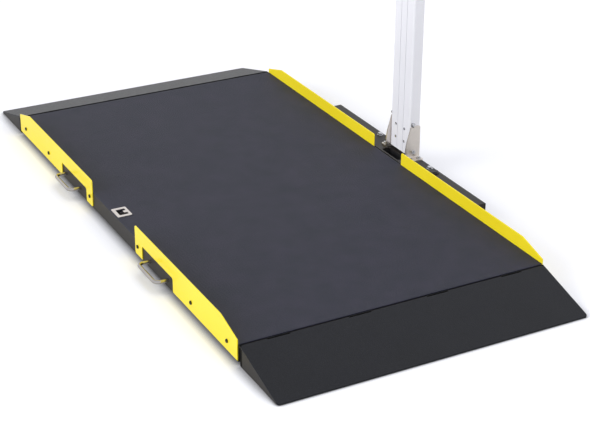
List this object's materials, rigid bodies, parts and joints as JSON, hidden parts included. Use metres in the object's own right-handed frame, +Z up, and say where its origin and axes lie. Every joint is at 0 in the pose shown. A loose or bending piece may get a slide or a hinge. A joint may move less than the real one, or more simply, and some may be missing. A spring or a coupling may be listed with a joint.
{
  "type": "platform scale with folding column",
  "caption": "Low platform weighing scale with folding end ramps, yellow guard rails, carry handles and a folding column that carries a tilting indicator head",
  "frame": {"origin": "middle of the whole footprint, on the floor; the middle of the deck is 23.5 mm nearer the carry handles", "axes": "+X along the deck towards the near ramp, +Y across it towards the column, +Z up"},
  "size_m": [1.932, 0.993, 1.156],
  "materials": {
    "deck_rubber": "matte, fine pebble",
    "deck_aluminium": "mill finish",
    "black_steel": "satin powder coat",
    "ramp_aluminium": "black grit coating",
    "safety_yellow": "satin powder coat",
    "black_screws": "black oxide",
    "stainless": "brushed",
    "zinc_fasteners": "bright plated",
    "white_aluminium": "white powder coat",
    "white_steel": "white powder coat",
    "load_cell_aluminium": "machined, anodised",
    "black_rubber": "matte moulded rubber",
    "black_plastic": "fine texture",
    "grey_plastic": "fine texture",
    "light_plastic": "fine texture",
    "nylon": "smooth",
    "key_plastic": "soft touch",
    "clear_window": "polished",
    "display_glass": "glossy",
    "circuit_laminate": "solder mask"
  },
  "bodies": {
    "root": {"deck_plate": "deck_aluminium", "deck_mat": "deck_rubber", "side_channel_handle": "black_steel", "side_channel_column": "black_steel", "end_beam_near": "black_steel", "end_beam_far": "black_steel", "cross_ribs": "black_steel", "rail_handle_near": "safety_yellow", "rail_handle_far": "safety_yellow", "rail_column_near": "safety_yellow", "rail_column_far": "safety_yellow", "rail_screws": "black_screws", "carry_handle_near": "stainless", "carry_handle_far": "stainless", "handle_nuts": "zinc_fasteners", "keeper_plate": "stainless", "hinge_lugs": "black_steel", "ramp_buffers": "black_rubber", "base_channel": "black_steel", "base_channel_bolts": "zinc_fasteners", "cable_entry_cap": "black_plastic", "wheel_cheeks": "black_steel", "wheel_axles": "zinc_fasteners", "bracket_near": "stainless", "bracket_far": "stainless", "bracket_bolts": "zinc_fasteners", "pivot_bolt": "zinc_fasteners", "load_cells": "load_cell_aluminium", "levelling_feet": "black_rubber", "junction_box": "black_plastic"},
    "ramp_near": {"ramp_near_plate": "ramp_aluminium", "ramp_near_frame": "ramp_aluminium", "ramp_near_pin": "stainless"},
    "ramp_far": {"ramp_far_plate": "ramp_aluminium", "ramp_far_frame": "ramp_aluminium", "ramp_far_pin": "stainless"},
    "wheel_near": {"transport_wheel_near": "black_rubber"},
    "wheel_far": {"transport_wheel_far": "black_rubber"},
    "column": {"column_tube": "white_aluminium", "column_foot_insert": "black_plastic", "column_rivets": "zinc_fasteners", "pivot_bushes": "nylon", "column_cap": "grey_plastic", "latch_guide": "black_plastic", "head_yoke": "white_steel"},
    "lock": {"lock_pin": "zinc_fasteners", "lock_grip": "black_plastic"},
    "latch": {"latch_slider": "zinc_fasteners"},
    "head": {"head_front_case": "light_plastic", "head_rear_case": "grey_plastic", "head_window": "clear_window", "display_module": "display_glass", "circuit_board": "circuit_laminate", "battery_pack": "black_plastic"},
    "knob_near": {"tilt_knob_near": "black_plastic"},
    "knob_far": {"tilt_knob_far": "black_plastic"},
    "key_power": {"key_power": "key_plastic"},
    "key_zero": {"key_zero": "key_plastic"},
    "key_hold": {"key_hold": "key_plastic"},
    "key_unit": {"key_unit": "key_plastic"}
  },
  "joints": [
    {"name": "ramp_near_fold", "type": "hinge", "parent": "root", "child": "ramp_near", "pos_m": [0.774, 0, 0.0525], "axis": [0, -1, 0], "range_deg": [0, 90]},
    {"name": "ramp_far_fold", "type": "hinge", "parent": "root", "child": "ramp_far", "pos_m": [-0.774, 0, 0.0525], "axis": [0, 1, 0], "range_deg": [0, 90]},
    {"name": "wheel_near_spin", "type": "hinge", "parent": "root", "child": "wheel_near", "pos_m": [0.37, 0.469, 0.0275], "axis": [1, 0, 0], "continuous": true},
    {"name": "wheel_far_spin", "type": "hinge", "parent": "root", "child": "wheel_far", "pos_m": [-0.37, 0.469, 0.0275], "axis": [1, 0, 0], "continuous": true},
    {"name": "column_fold", "type": "hinge", "parent": "root", "child": "column", "pos_m": [0, 0.4615, 0.079], "axis": [1, 0, 0], "range_deg": [0, 90]},
    {"name": "lock_slide", "type": "slide", "parent": "column", "child": "lock", "axis": [0, 0, 1], "range_m": [-0.0072, 0]},
    {"name": "latch_slide", "type": "slide", "parent": "column", "child": "latch", "axis": [0, 0, -1], "range_m": [0, 0.008]},
    {"name": "head_tilt", "type": "hinge", "parent": "column", "child": "head", "pos_m": [0, 0.4685, 1.08], "axis": [-1, 0, 0], "range_deg": [-15, 50]},
    {"name": "knob_near_turn", "type": "hinge", "parent": "head", "child": "knob_near", "pos_m": [0.13, 0.4685, 1.08], "axis": [1, 0, 0], "continuous": true},
    {"name": "knob_far_turn", "type": "hinge", "parent": "head", "child": "knob_far", "pos_m": [-0.13, 0.4685, 1.08], "axis": [1, 0, 0], "continuous": true},
    {"name": "key_power_press", "type": "slide", "parent": "head", "child": "key_power", "axis": [0, 1, 0], "range_m": [0, 0.001], "stiffness_N_per_m": 400, "springref_m": -0.001},
    {"name": "key_zero_press", "type": "slide", "parent": "head", "child": "key_zero", "axis": [0, 1, 0], "range_m": [0, 0.001], "stiffness_N_per_m": 400, "springref_m": -0.001},
    {"name": "key_hold_press", "type": "slide", "parent": "head", "child": "key_hold", "axis": [0, 1, 0], "range_m": [0, 0.001], "stiffness_N_per_m": 400, "springref_m": -0.001},
    {"name": "key_unit_press", "type": "slide", "parent": "head", "child": "key_unit", "axis": [0, 1, 0], "range_m": [0, 0.001], "stiffness_N_per_m": 400, "springref_m": -0.001}
  ]
}
